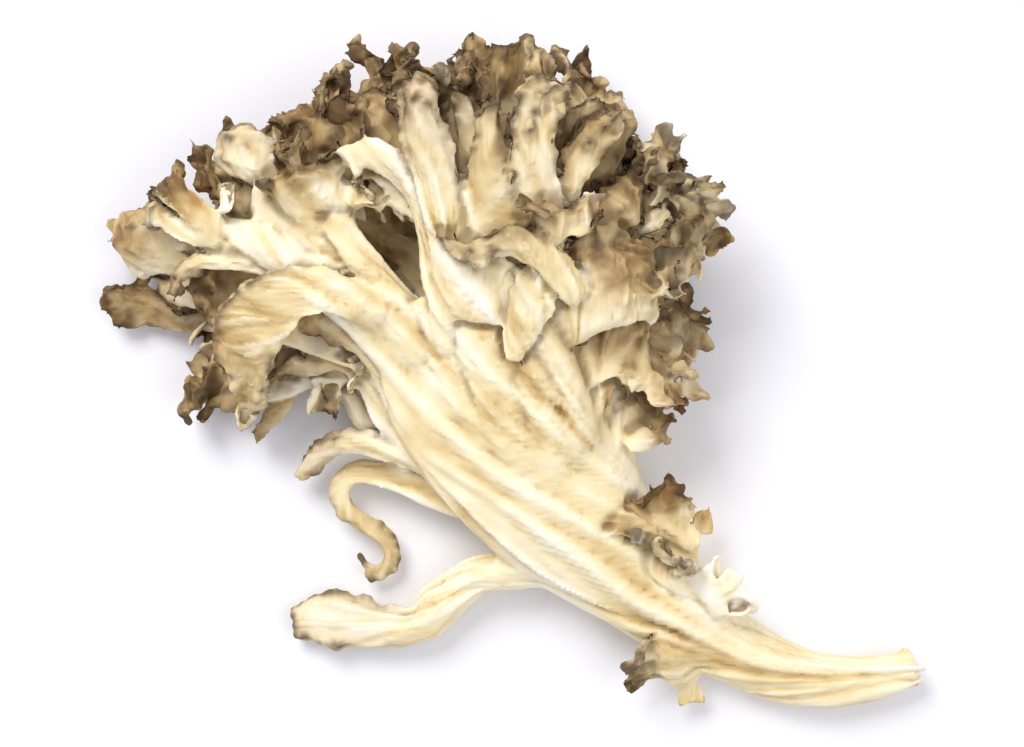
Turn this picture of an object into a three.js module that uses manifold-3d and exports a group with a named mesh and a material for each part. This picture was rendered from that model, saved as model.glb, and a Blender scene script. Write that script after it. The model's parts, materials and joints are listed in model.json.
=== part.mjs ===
// A dried cluster of maitake (hen of the woods), lying on a table as it was torn off: one flattened stem
// with a side stub, two tendrils and a torn flap, opening into a fan of thin fronds with frilled caps.
// Millimetres, +Z up. The torn butt of the stem points to +X -Y and the fan opens to +Y and -X.
// The origin is on the table, under the middle of the cluster's outer box.
import * as THREE from "three";
import { mergeVertices } from "three/addons/utils/BufferGeometryUtils.js";
import Module from "manifold-3d";

const wasm = await Module();
wasm.setup();

// Driving dimensions.
const SPAN = 96; // from the outermost cap on the left to the torn butt of the stem
const GAP = 0.3; // air between neighbouring pieces
const RIM = 0.9; // thickness of a cap at its margin
const SHEET = 1.7; // thickness of a frond where it leaves the stem
const BOUGH = 3.6; // thickness of a fleshy branch where it leaves the stem

// Every place below is laid out for a cluster of this span, and scaled to SPAN at the end.
const DRAWN_SPAN = 96;

const FRAME_STEPS = 48; // places along a spine where its frame is worked out
const CURL_START = 0.5; // share of a frond's length where its tip begins to curl
const PROBE = 0.01; // step used to find the slope of a sheet

const TONES = {
  flesh: { color: 0xe9d9b2, roughness: 0.72 },
  cap: { color: 0xa08a6a, roughness: 0.82 },
};

const radians = THREE.MathUtils.degToRad;

// The value at share t of a list of values that stand at equal steps.
function along(values, t) {
  if (!Array.isArray(values)) return values;
  const x = THREE.MathUtils.clamp(t, 0, 1) * (values.length - 1);
  const i = Math.min(Math.floor(x), values.length - 2);
  return THREE.MathUtils.lerp(values[i], values[i + 1], x - i);
}

// Frames along a spine: place, side and normal. They turn as little as the spine lets them, then roll,
// and past CURL_START the spine leaves its drawn line and curls by `curl` degrees.
function spineFrames({ spine, roll = 0, curl = 0 }) {
  const curve = new THREE.CatmullRomCurve3(
    spine.map((p) => new THREE.Vector3(...p)),
    false,
    "centripetal",
  );
  const step = curve.getLength() / FRAME_STEPS;
  const ahead = curve.getTangentAt(0);
  const up = new THREE.Vector3(0, 0, 1).addScaledVector(ahead, -ahead.z).normalize();
  const place = curve.getPointAt(0);
  const frames = [];
  for (let i = 0; i <= FRAME_STEPS; i++) {
    const t = i / FRAME_STEPS;
    const next = curve.getTangentAt(t);
    up.applyQuaternion(new THREE.Quaternion().setFromUnitVectors(ahead, next));
    ahead.copy(next);
    const side = new THREE.Vector3().crossVectors(ahead, up).normalize();
    const bend = radians(curl) * THREE.MathUtils.smoothstep(t, CURL_START, 1);
    const forward = ahead.clone().applyAxisAngle(side, bend);
    const normal = up.clone().applyAxisAngle(side, bend);
    const turn = radians(along(roll, t));
    side.applyAxisAngle(forward, turn);
    normal.applyAxisAngle(forward, turn);
    frames.push({ place: place.clone(), side, normal });
    place.addScaledVector(forward, step);
  }
  return frames;
}

function frameAt(frames, t) {
  const x = THREE.MathUtils.clamp(t, 0, 1) * FRAME_STEPS;
  const i = Math.min(Math.floor(x), FRAME_STEPS - 1);
  const mix = (key) => frames[i][key].clone().lerp(frames[i + 1][key], x - i);
  return { place: mix("place"), side: mix("side"), normal: mix("normal") };
}

// A closed skin over a grid of points: `front` and `back` are its two faces, rows by columns.
function closedSheet(front, back) {
  const rows = front.length;
  const columns = front[0].length;
  const points = [...front.flat(), ...back.flat()];
  const faces = [];
  const quad = (a, b, c, d) => faces.push(a, b, c, a, c, d);
  const at = (face, i, j) => face * rows * columns + i * columns + j;
  for (let i = 0; i < rows - 1; i++) {
    for (let j = 0; j < columns - 1; j++) {
      quad(at(0, i, j), at(0, i, j + 1), at(0, i + 1, j + 1), at(0, i + 1, j));
      quad(at(1, i, j), at(1, i + 1, j), at(1, i + 1, j + 1), at(1, i, j + 1));
    }
    quad(at(0, i + 1, 0), at(1, i + 1, 0), at(1, i, 0), at(0, i, 0));
    const last = columns - 1;
    quad(at(0, i, last), at(1, i, last), at(1, i + 1, last), at(0, i + 1, last));
  }
  for (let j = 0; j < columns - 1; j++) {
    quad(at(0, 0, j), at(1, 0, j), at(1, 0, j + 1), at(0, 0, j + 1));
    const end = rows - 1;
    quad(at(0, end, j + 1), at(1, end, j + 1), at(1, end, j), at(0, end, j));
  }
  return new THREE.BufferGeometry().setFromPoints(points).setIndex(faces);
}

// A frond: a thin sheet along a spine. `cup` bends it across (positive lifts its edges), `frill` is the
// height of the waves at its end and `sideFrill` of those along its sides, and `lobes` with `notch` split
// its end. `grow` makes it fatter all round, to cut its neighbours back with.
function frond(spec, grow) {
  const {
    width, thick = [SHEET, RIM], cup = 0, waves = 3, frill = 0, sideFrill = frill * 0.6,
    sideWaves = 2, phase = 0, lobes = 1, notch = 0, round = 0.12, steps = [10, 8],
  } = spec;
  const frames = spineFrames(spec);
  const notchHalfWidth = 0.9 / lobes;
  const reach = (u) => {
    let share = 1 - round * u * u;
    for (let k = 1; k < lobes; k++) {
      const off = Math.abs(u - (-1 + (2 * k) / lobes));
      share -= notch * Math.max(0, 1 - off / notchHalfWidth);
    }
    return share;
  };
  const middle = (u, v) => {
    const t = v * reach(u);
    const { place, side, normal } = frameAt(frames, t);
    const span = along(width, t) + 2 * grow;
    const bend = radians(along(cup, t)) || 1e-4;
    const angle = (bend * u) / 2;
    const radius = span / bend;
    place.addScaledVector(side, radius * Math.sin(angle));
    place.addScaledVector(normal, radius * (1 - Math.cos(angle)));
    const out = normal.multiplyScalar(Math.cos(angle)).addScaledVector(side, -Math.sin(angle));
    const endWave = frill * t ** 2.5 * Math.sin(Math.PI * waves * u + phase + 2 * t);
    const sideWave = sideFrill * Math.abs(u) ** 3 * t * Math.sin(2 * Math.PI * sideWaves * t + phase + u);
    return place.addScaledVector(out, endWave + sideWave);
  };
  const [rows, columns] = steps;
  const faces = [[], []];
  for (let i = 0; i <= rows; i++) {
    const lines = [[], []];
    for (let j = 0; j <= columns; j++) {
      const u = -1 + (2 * j) / columns;
      const v = i / rows;
      const across = middle(u + PROBE, v).sub(middle(u - PROBE, v));
      const onward = middle(u, Math.min(v + PROBE, 1)).sub(middle(u, Math.max(v - PROBE, 0)));
      const out = across.cross(onward).normalize();
      const half = (along(thick, v) * (1 - 0.35 * u * u)) / 2 + grow;
      lines[0].push(middle(u, v).addScaledVector(out, half));
      lines[1].push(middle(u, v).addScaledVector(out, -half));
    }
    faces[0].push(lines[0]);
    faces[1].push(lines[1]);
  }
  return closedSheet(...faces);
}

// A stalk: a round or flattened branch along a spine, with `ridges` running down it, closed at both ends.
function stalk(spec, grow) {
  const { width, height, ridges = 5, ridge = 0.05, phase = 0, steps = [16, 14] } = spec;
  const frames = spineFrames(spec);
  const [rows, corners] = steps;
  const points = [];
  const faces = [];
  for (let i = 0; i <= rows; i++) {
    const t = i / rows;
    const { place, side, normal } = frameAt(frames, t);
    for (let j = 0; j < corners; j++) {
      const a = (2 * Math.PI * j) / corners;
      const swell = 1 + ridge * Math.sin(ridges * a + phase + 2 * t);
      points.push(
        place
          .clone()
          .addScaledVector(side, Math.cos(a) * ((swell * along(width, t)) / 2 + grow))
          .addScaledVector(normal, Math.sin(a) * ((swell * along(height, t)) / 2 + grow)),
      );
    }
  }
  const at = (i, j) => i * corners + (j % corners);
  for (let i = 0; i < rows; i++)
    for (let j = 0; j < corners; j++) {
      faces.push(at(i, j), at(i, j + 1), at(i + 1, j + 1));
      faces.push(at(i, j), at(i + 1, j + 1), at(i + 1, j));
    }
  for (const [row, sign] of [[0, -1], [rows, 1]]) {
    const centre = points.length;
    const frame = frames[row ? FRAME_STEPS : 0];
    points.push(frame.place.clone());
    for (let j = 0; j < corners; j++) {
      const pair = sign < 0 ? [at(row, j + 1), at(row, j)] : [at(row, j), at(row, j + 1)];
      faces.push(centre, ...pair);
    }
  }
  return new THREE.BufferGeometry().setFromPoints(points).setIndex(faces);
}

function solidOf(geometry) {
  const g = geometry.clone();
  g.deleteAttribute("normal");
  g.deleteAttribute("uv");
  const merged = mergeVertices(g, 1e-4);
  const solid = (triVerts) =>
    new wasm.Manifold(
      new wasm.Mesh({ numProp: 3, vertProperties: merged.attributes.position.array, triVerts }),
    );
  const made = solid(new Uint32Array(merged.index.array));
  return made.volume() > 0 ? made : solid(new Uint32Array(merged.index.array).reverse());
}

// The stem, its stub, its tendrils, the flaps torn from it and the raised slabs on the face of its fan.
const STEM_PIECES = [
  {
    name: "main_stem", tone: "flesh", make: stalk, ridges: 6, ridge: 0.06,
    spine: [
      [48, -33.8, 2.8], [42, -35.6, 2.3], [34, -34.8, 2.5], [26, -31, 3], [18.4, -25.2, 4.2],
      [11, -18.6, 5.6], [5.4, -11.6, 7.2], [1.4, -4, 8.8], [-1.8, 3, 10.2], [-3.4, 9, 11],
    ],
    width: [4.2, 6, 7.2, 8.6, 11.6, 14.4, 20, 25, 27, 22],
    height: [2.6, 5, 6, 7, 8.8, 9.4, 9.2, 8, 6.4, 3],
    steps: [15, 13],
  },
  {
    name: "side_stub", tone: "flesh", make: stalk, ridge: 0.1,
    spine: [
      [9, -19, 5.6], [3, -21.8, 5], [-3, -23, 4.2], [-7, -26.2, 3.2], [-9.8, -29.2, 2.8],
      [-13.8, -29.2, 2.3], [-17.8, -28.6, 2.3], [-21.4, -28.2, 2.2], [-25, -28.8, 2],
    ],
    width: [7, 5.6, 4.6, 4.2, 5.4, 4.6, 5.6, 7.2, 4],
    height: [6, 5, 4, 4, 5, 4, 4, 3.6, 1.8],
    steps: [14, 8],
  },
  {
    name: "torn_flap", tone: "flesh", make: frond, roll: [10, -25, 15, 0], thick: [2.4, 1.1],
    spine: [[7.6, -15.4, 8.2], [12.4, -16, 9], [17, -16.6, 8.2], [22.4, -19.4, 6.8]],
    width: [6, 5.4, 4.6, 2.4], frill: 0.4, waves: 1, steps: [9, 4],
  },
  {
    name: "torn_lip", tone: "flesh", make: frond, roll: [0, 15, 25], thick: [2.2, 1],
    spine: [[13, -20.4, 8], [18, -22.4, 8.4], [22.4, -24.8, 8], [25.4, -28, 7.6]],
    width: [4.6, 5, 4, 2.4], frill: 0.3, waves: 1, phase: 1, steps: [8, 4],
  },
  {
    name: "torn_scale", tone: "flesh", make: frond, cup: [-70, -110, -120], thick: [2, 1], curl: -30,
    spine: [[18.6, -29.6, 7], [19, -32.2, 7], [20, -34.4, 5.6], [21.4, -36.2, 3.4]],
    width: [3.6, 4.6, 4.6, 3.4], frill: 0.4, waves: 1, steps: [6, 4],
  },
  {
    name: "straight_tendril", tone: "flesh", make: frond, cup: [-60, -100, -140], thick: [2, 1.2],
    spine: [
      [-3.4, -11.8, 6.2], [-8.6, -10, 6.8], [-13.4, -8.2, 7], [-18.2, -7.4, 6.6], [-21.8, -9.2, 5.2],
      [-24.6, -12.4, 3.4],
    ],
    width: [4, 3.6, 3.2, 2.8, 2.6, 2.2], steps: [10, 3],
  },
  {
    name: "curled_tendril", tone: "flesh", make: frond, thick: [2, 1.2],
    spine: [
      [-3, -15.2, 4.4], [-8.6, -13.4, 4.2], [-13.6, -11.6, 3.8], [-17.8, -11.2, 3.6], [-19.4, -13.6, 3.6],
      [-17.4, -16.6, 3.2], [-13.9, -18.8, 2.8], [-12.8, -21.4, 2.4], [-14.6, -23.5, 2.2],
      [-17.1, -22.2, 2.6], [-16.6, -19.9, 3.6],
    ],
    width: [4, 3.8, 3.2, 2.8, 2.6, 2.6, 2.6, 2.4, 2.2, 2.2, 2.2],
    steps: [26, 3],
  },
  {
    name: "face_slab_left", tone: "flesh", make: frond, cup: [-60, -90, -60], thick: [3, 1.8],
    spine: [[-2.6, -10.6, 10.4], [-4.8, -2.9, 12.4], [-7, 3.7, 13.8], [-8.8, 9.4, 15]],
    width: [5, 6.4, 5.6, 4], sideFrill: 0.2, round: 0.02, steps: [6, 4],
  },
  {
    name: "face_slab_middle", tone: "flesh", make: frond, cup: [-30, -50, -30], thick: [3, 1.9],
    spine: [[1, -10.8, 10.8], [-0.8, -3, 13], [-2.4, 3.7, 14.6], [-3.4, 9.4, 15.6]],
    width: [6, 7.6, 7.8, 7.2], sideFrill: 0.2, round: 0.02, steps: [6, 5],
  },
  {
    name: "face_slab_right", tone: "flesh", make: frond, cup: [-50, -80, -60], thick: [3, 1.8],
    spine: [[5.6, -11, 10.4], [4.2, -4.6, 12.8], [2.6, 1.6, 14.4], [1.6, 6.4, 15.2]],
    width: [5, 5.6, 5, 3.4], sideFrill: 0.2, round: 0.02, steps: [6, 4],
  },
  {
    name: "face_rib", tone: "flesh", make: frond, cup: [-90, -120, -90], thick: [2.4, 1.5],
    spine: [[8.6, -8, 10.8], [7.4, -3, 13.2], [5.8, 1.8, 15], [3.2, 6.2, 16.2]],
    width: [3.4, 4, 4.4, 3.6], steps: [6, 4],
  },
];

// Fronds of the left side, from the pale lobe that bends back towards the stem to the hooded caps.
const LEFT_PIECES = [
  {
    name: "left_bough", tone: "flesh", make: frond, cup: [-50, -70, -80], thick: [BOUGH, 2.2],
    spine: [
      [-6, -2, 10.6], [-13, 5.8, 13], [-20, 10.8, 14.4], [-26.4, 14.4, 15], [-31.5, 15.8, 14.6],
      [-34.6, 17.2, 14],
    ],
    width: [10, 9, 7.4, 6, 5, 4.6], sideFrill: 0.3, round: 0.2, steps: [8, 5],
  },
  {
    name: "pale_lobe", tone: "flesh", make: frond, cup: [-40, -30, 10, -10, -50], thick: [2, 1],
    spine: [
      [-14, 7, 15.2], [-20, 9.6, 17], [-25, 8.4, 17.6], [-28.4, 5, 16.4], [-29.4, 0.9, 13.4],
      [-29.2, -3, 9.8], [-29.9, -6.4, 6.8],
    ],
    width: [4.4, 4.8, 6, 8.4, 7.6, 4.4, 1.2], frill: 0.5, sideFrill: 1, round: 0, steps: [9, 5],
  },
  {
    name: "left_fold_upper", tone: "flesh", make: frond, cup: [-60, -90, -80], thick: [3, 1.5],
    spine: [[-8, -8, 7.4], [-11.6, -0.8, 10.4], [-15, 4.2, 12], [-19.2, 6, 12.4], [-23.6, 4.8, 11.6]],
    width: [7, 7, 6.4, 5.4, 3.6], steps: [7, 5],
  },
  {
    name: "left_fold_lower", tone: "flesh", make: frond, cup: [-60, -80, -80], thick: [2.8, 1.2],
    spine: [
      [-9.4, -9.4, 6], [-13.2, -3, 8.6], [-15.8, 1.2, 9.4], [-19.6, 2.4, 9], [-23.6, 1, 8],
      [-27, -0.8, 6.6],
    ],
    width: [6, 5.6, 4.8, 4.2, 3.4, 2], steps: [8, 4],
  },
  {
    name: "left_under_strip", tone: "flesh", make: frond, cup: -60, thick: [2, 1.2],
    spine: [[-10.4, -9, 4.4], [-15.4, -5.6, 4.6], [-18.8, -1.4, 5], [-22.4, 1, 5]],
    width: [5, 3.8, 3, 2.4], steps: [6, 3],
  },
  {
    name: "left_crown_cap", tone: "flesh", make: frond, cup: [-60, -30, 60], curl: -60,
    spine: [[-31.6, 15.4, 15.2], [-35, 18.6, 16.6], [-37.8, 21.4, 16.6], [-39.6, 24, 14.8]],
    width: [3, 3.2, 3.8, 4.6], frill: 0.5, waves: 2, steps: [6, 4],
  },
  {
    name: "left_hook_cap", tone: "flesh", make: frond, cup: [-70, -60, -40], curl: -110,
    spine: [[-32, 15, 14.4], [-36.4, 17, 15.4], [-40.2, 19, 15], [-43.4, 18.8, 13]],
    width: [3, 3.2, 3, 3.6], frill: 0.4, waves: 2, phase: 1, steps: [6, 4],
  },
  {
    name: "left_finger", tone: "flesh", make: frond, cup: -70, thick: [1.8, 1.1],
    spine: [[-25, 12.6, 14.4], [-30, 13.2, 14.8], [-34, 13.2, 14], [-36.8, 11.4, 12], [-37.6, 8.8, 10]],
    width: [3, 2.6, 2.4, 2, 1.8], steps: [6, 3],
  },
  {
    name: "left_hood", tone: "cap", make: frond, cup: [-60, -140, -150], curl: -40,
    spine: [[-33, 14.4, 9], [-38.6, 15.8, 9.4], [-43.4, 16, 8.8], [-47.2, 16.6, 6.8]],
    width: [6, 9.4, 10.6, 8.6], frill: 0.5, waves: 2, phase: 0.4, steps: [6, 5],
  },
  {
    name: "left_small_cap", tone: "cap", make: frond, cup: [-30, -80, -60], curl: -50,
    spine: [[-28, 9, 7], [-33.6, 10.6, 7.4], [-38.4, 12, 7], [-42, 13, 5]],
    width: [5, 7, 8, 7], frill: 0.8, waves: 2, phase: 2, steps: [6, 5],
  },
  {
    name: "left_tongue", tone: "cap", make: frond, cup: [-40, -60, -40], curl: 40,
    spine: [[-29, 7.4, 4], [-36, 7.2, 3.6], [-42, 8.2, 2.4], [-47.6, 8.8, 1.4]],
    width: [4, 4.4, 5, 5.2], frill: 0.3, waves: 2, steps: [6, 4],
  },
  {
    name: "left_cup", tone: "cap", make: frond, cup: [40, 90, 120], roll: [0, -10, -20],
    spine: [[-16, 3, 9.6], [-22.6, 7.4, 8.8], [-28, 9.4, 8], [-32.6, 9.6, 8.4], [-36, 8.4, 10.4]],
    width: [6, 9, 11, 11, 8], frill: 0.5, waves: 3, phase: 2, steps: [7, 5],
  },
  {
    name: "left_fringe", tone: "cap", make: frond, cup: [-20, -40, 10], roll: [0, 10, 30],
    spine: [[-17, 1, 6.6], [-23.4, 4, 5.4], [-29, 4, 4.4], [-33.4, 1.6, 3], [-35.6, -2.6, 1.8]],
    width: [5, 7, 7.6, 7.6, 6.4], frill: 1, sideFrill: 0.6, waves: 2, phase: 0.7, steps: [6, 5],
  },
  {
    name: "left_prong", tone: "cap", make: frond, cup: -50, thick: [1.6, 1],
    spine: [[-18, 3.4, 6.8], [-23.4, 0.2, 6], [-26.4, -3.6, 4.8], [-29.4, -7.2, 3.2]],
    width: [3.8, 3.2, 3, 1.4], frill: 0.3, steps: [6, 3],
  },
];

// The crumpled caps at the upper left, with the open arch between them and the centre.
const UPPER_LEFT_PIECES = [
  {
    name: "upper_left_bough", tone: "flesh", make: frond, cup: [-40, -60, -60], thick: [3.2, 1.8],
    spine: [[-13, 5, 13], [-19.4, 11, 14.4], [-23.2, 15.4, 15], [-25.6, 19.4, 15], [-26.8, 23, 14]],
    width: [6, 7, 7.6, 8, 6.6], sideFrill: 0.3, round: 0.2, steps: [7, 5],
  },
  {
    name: "arch_left", tone: "flesh", make: frond, cup: [-50, -70, -50], thick: [2.6, 1.7], roll: [0, 20, 20],
    spine: [[-9, 2.6, 13], [-12.9, 8.6, 14.6], [-16.4, 13.2, 15.4], [-19.2, 17.8, 15.6], [-20.4, 21, 16]],
    width: [5, 4.2, 3.6, 3.6, 3.6], steps: [6, 4],
  },
  {
    name: "arch_right", tone: "flesh", make: frond, cup: [-50, -80, -60], thick: [2.8, 1.6],
    roll: [0, -15, -20],
    spine: [
      [-6.4, 2.6, 13.6], [-7.2, 9, 15.6], [-8.2, 15.4, 17.2], [-10, 20.8, 18.2], [-13.8, 24.2, 18.4],
      [-18, 25, 17.2],
    ],
    width: [5, 4.4, 3.8, 3.8, 4, 3], sideFrill: 0.2, steps: [8, 4],
  },
  {
    name: "crumpled_cap_outer", tone: "cap", make: frond, cup: [-30, -90, -40], curl: -60,
    spine: [[-23, 15, 10], [-27.4, 18.6, 12.4], [-31.4, 21, 12.8], [-35, 23.4, 10.8]],
    width: [6, 8.6, 10, 9], frill: 1, sideFrill: 0.8, waves: 2, phase: 1.2, steps: [6, 5],
  },
  {
    name: "pale_loop_cap", tone: "flesh", make: frond, cup: [-60, -150, -180], curl: -20, thick: [1.6, 0.9],
    spine: [[-24, 20.6, 13.4], [-27, 23.6, 15.2], [-30.2, 25.2, 15.2], [-33.2, 26, 13.8]],
    width: [4.4, 7, 8.4, 8], frill: 0.3, waves: 2, steps: [6, 5],
  },
  {
    name: "crumpled_cap_left", tone: "cap", make: frond, cup: [-20, -80, -100], curl: -90,
    spine: [[-22, 14.4, 14.6], [-22, 20, 17.2], [-22.6, 24.2, 17.8], [-23.4, 27.6, 15.8]],
    width: [6, 9, 11, 10], frill: 0.9, sideFrill: 0.7, waves: 2, phase: 2.2, steps: [7, 5],
  },
  {
    name: "crumpled_cap_middle", tone: "cap", make: frond, cup: [-20, -60, -80], curl: -60,
    spine: [[-19, 20, 12.4], [-20.4, 25.4, 14.4], [-22.6, 29, 14.6], [-25, 31.8, 12.4]],
    width: [6, 9, 10.6, 10], frill: 1.1, sideFrill: 0.8, waves: 2, phase: 0.3, steps: [6, 5],
  },
  {
    name: "tan_lobe", tone: "cap", make: frond, cup: [-20, -50, 30], curl: -30,
    spine: [[-10.6, 20.6, 15], [-13.4, 24.8, 16.8], [-16, 27.8, 16.6], [-18.6, 29.6, 15.2]],
    width: [4.6, 6, 7, 6], frill: 0.6, waves: 2, phase: 1, steps: [6, 5],
  },
  {
    name: "crumpled_cap_upper", tone: "cap", make: frond, cup: [0, -50, -90], curl: -70,
    spine: [[-11.4, 22, 11.6], [-12.2, 28.4, 13.2], [-13, 33, 12.8], [-14.2, 36.6, 10.2]],
    width: [5, 7.6, 9, 8.6], frill: 1.1, sideFrill: 0.8, waves: 2, phase: 1.9, steps: [6, 5],
  },
  {
    name: "crumpled_cap_top", tone: "cap", make: frond, cup: [0, 60, 110], curl: 50,
    spine: [[-7.6, 22, 11.4], [-7.8, 28, 12.8], [-8, 32.6, 13.6], [-8.4, 36, 14.4]],
    width: [4.4, 6.4, 7.6, 7], frill: 0.9, sideFrill: 0.6, waves: 2, phase: 3, steps: [6, 5],
  },
];

// The tall fronds of the middle.
const CENTRE_PIECES = [
  {
    name: "hook_frond", tone: "flesh", make: frond, cup: [-60, -90, -120], thick: [2.6, 1.5],
    spine: [
      [-5, 6.4, 16], [-5.9, 12.6, 18], [-7.2, 19.4, 19.8], [-8.8, 25.4, 21], [-10, 29.8, 20.6],
      [-9.2, 32.6, 18], [-8.2, 32.2, 15.6],
    ],
    width: [4.8, 5, 4.8, 4.8, 5.2, 5, 3.6], steps: [10, 4],
  },
  {
    name: "centre_frond_left", tone: "flesh", make: frond, cup: [-50, -80, -140], curl: -40,
    thick: [2.4, 1.1],
    spine: [[-3.6, 8, 14.6], [-4.2, 15.8, 16.4], [-4.6, 23.6, 17.8], [-5, 30.6, 18], [-6, 36, 16.4]],
    width: [5, 5.2, 4.8, 5.4, 6.4], frill: 0.7, waves: 2, phase: 0.6, steps: [7, 5],
  },
  {
    name: "dark_tongue", tone: "cap", make: frond, cup: [60, 100, 80], thick: [1.8, 1.1],
    spine: [[-3, 18, 13], [-3.2, 27.6, 14.4], [-3.2, 34.4, 14], [-4, 39.4, 12.4]],
    width: [4, 4.4, 4.6, 4], frill: 0.4, waves: 2, steps: [6, 4],
  },
  {
    name: "centre_blade", tone: "flesh", make: frond, cup: [-30, -40, -50], thick: [2, 1],
    spine: [[-1.6, 6, 16], [-1.8, 13.6, 18.4], [-2, 21.6, 20], [-1.8, 30, 20.4]],
    width: [6.4, 7.4, 6, 1.8], sideFrill: 0.4, round: 0, steps: [6, 4],
  },
  {
    name: "centre_frond_right", tone: "cap", make: frond, cup: [-30, 20, 50, 40],
    spine: [[0.6, 8, 13], [0.4, 17, 14.4], [0.8, 26, 15.6], [1.2, 33, 16.2], [1.6, 38.2, 16.2]],
    width: [6, 7, 7, 8, 9], frill: 0.9, waves: 3, phase: 2, steps: [7, 6],
  },
  {
    name: "curl_frond", tone: "flesh", make: frond, cup: [-30, -40, 30, 60], thick: [2.4, 1.1],
    spine: [
      [2.2, 6, 15], [2.9, 13.6, 17.6], [2.8, 20.6, 19.4], [3, 26.4, 20.4], [4.4, 30.4, 19.8],
      [7.2, 31.8, 17.6],
    ],
    width: [7, 8, 7.4, 6.4, 5.8, 4.6], frill: 0.5, sideFrill: 0.6, waves: 2, phase: 1.4, steps: [8, 5],
  },
  {
    name: "slant_strip", tone: "flesh", make: frond, cup: [-60, -80, -40], thick: [1.9, 1],
    spine: [[4.4, 16, 16.6], [6.6, 21.6, 18.4], [9.4, 26, 18.8], [12.6, 29.8, 17.4]],
    width: [4, 4, 4, 4.8], frill: 0.6, waves: 2, steps: [6, 4],
  },
  {
    name: "grey_cup", tone: "cap", make: frond, cup: [40, 100, 110], roll: [0, 15, 20],
    spine: [[5, 13, 12], [7.2, 20.4, 13.6], [9, 26, 14.6], [10.4, 31.6, 16]],
    width: [5.4, 8.4, 9.6, 8], frill: 0.6, waves: 3, phase: 0.4, steps: [6, 5],
  },
  {
    name: "upper_right_lobe", tone: "cap", make: frond, cup: [-20, -40, -60], curl: -50,
    spine: [[3, 16, 9.6], [5.4, 24.6, 11.4], [7.2, 30.6, 11.6], [8.8, 35.6, 9]],
    width: [5, 7.4, 8.6, 8], frill: 0.9, waves: 2, phase: 0.9, steps: [6, 5],
  },
];

// The broad tan fans and short lobes of the right side.
const RIGHT_PIECES = [
  {
    name: "right_roll", tone: "cap", make: frond, cup: [-60, -130, -160], curl: -30, thick: [2, 1.1],
    spine: [[6.6, 10.4, 14], [9.8, 15.6, 15.8], [12.4, 19.4, 16.2], [15, 23, 15]],
    width: [5, 7, 8.6, 8], frill: 0.4, waves: 2, steps: [6, 5],
  },
  {
    name: "right_fan", tone: "cap", make: frond, cup: [-30, -40, -30], curl: -50,
    spine: [[2.4, 4.4, 14.2], [7.4, 8.6, 16.8], [12.4, 11.6, 17.6], [18.6, 13.8, 16.2]],
    width: [7, 10, 13, 14.6], frill: 0.8, sideFrill: 0.5, waves: 3, lobes: 4, notch: 0.1, phase: 0.2,
    steps: [7, 9],
  },
  {
    name: "right_low_lobe", tone: "cap", make: frond, cup: [-30, -30, 10, 30], roll: [0, 5, 0],
    spine: [[3.4, -1.6, 12], [8.6, 2.6, 13.4], [13.4, 4.2, 12.8], [17.8, 3.2, 11], [21.2, 1.4, 9]],
    width: [6.4, 8, 8.6, 7, 3.4], frill: 0.8, sideFrill: 0.7, waves: 2, phase: 1.1, steps: [7, 5],
  },
  {
    name: "right_crest", tone: "cap", make: frond, cup: [-20, 50, 80], curl: 40, roll: [0, -10, -20],
    spine: [[8, 12, 10.6], [12.4, 18, 11.4], [15, 22.6, 11.6], [16.8, 27, 12.4]],
    width: [6, 9, 10.4, 9], frill: 1, sideFrill: 0.8, waves: 2, phase: 2.2, steps: [6, 6],
  },
  {
    name: "right_crumple", tone: "cap", make: frond, cup: [0, 50, 90], curl: 40,
    spine: [[9, 8, 9.6], [14.4, 13.6, 11], [18.6, 17, 11.6], [22.6, 19.6, 12]],
    width: [7, 10, 12, 11], frill: 1.1, sideFrill: 0.8, waves: 3, phase: 2.7, steps: [6, 6],
  },
  {
    name: "right_strip", tone: "flesh", make: frond, cup: [-60, -80, -60], thick: [2, 1],
    spine: [[5.6, -9.4, 9.6], [8.6, -4.6, 11], [10.4, -0.8, 12], [10.6, 2.6, 13.2]],
    width: [4.4, 4, 3.8, 3.4], frill: 0.3, steps: [6, 3],
  },
  {
    name: "right_prong", tone: "cap", make: frond, cup: [-50, -30, 30], thick: [2, 1],
    spine: [[6.6, -9.4, 7.8], [11.4, -6, 8.4], [14.8, -3.6, 8], [18, -1.8, 7]],
    width: [5, 4.6, 4, 4.2], frill: 0.6, waves: 2, lobes: 2, notch: 0.2, phase: 0.8, steps: [6, 5],
  },
  {
    name: "torn_ribbon", tone: "flesh", make: frond, cup: -60, roll: [20, 0, -20, 10, 30], thick: [1.8, 1],
    spine: [
      [8.4, 8.8, 18], [4.6, 12.6, 20], [0.9, 14.4, 20.8], [-3, 13.2, 20.8], [-6, 14.8, 20.4],
      [-8.6, 16.6, 19.4],
    ],
    width: [3.4, 4, 4, 3.4, 2.6, 1.6], frill: 0.4, steps: [8, 3],
  },
  {
    name: "hanging_tongue", tone: "flesh", make: frond, cup: [-40, -60, -60], thick: [1.8, 1],
    spine: [[4, 11.6, 18.6], [2.8, 8.6, 18.4], [1.6, 5, 17.2], [0.8, 1.8, 16.2]],
    width: [4.6, 5.4, 4.4, 1.6], round: 0, steps: [6, 4],
  },
  {
    name: "centre_knob", tone: "cap", make: frond, cup: [-40, -100, -130], curl: -60, thick: [1.6, 1],
    spine: [[4.4, 14.6, 19.6], [4.8, 16.6, 20.8], [5, 18.6, 20.8], [4.8, 20.2, 19.6]],
    width: [3, 4.6, 5.6, 4.8], frill: 0.6, waves: 2, phase: 1, steps: [5, 5],
  },
];

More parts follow.
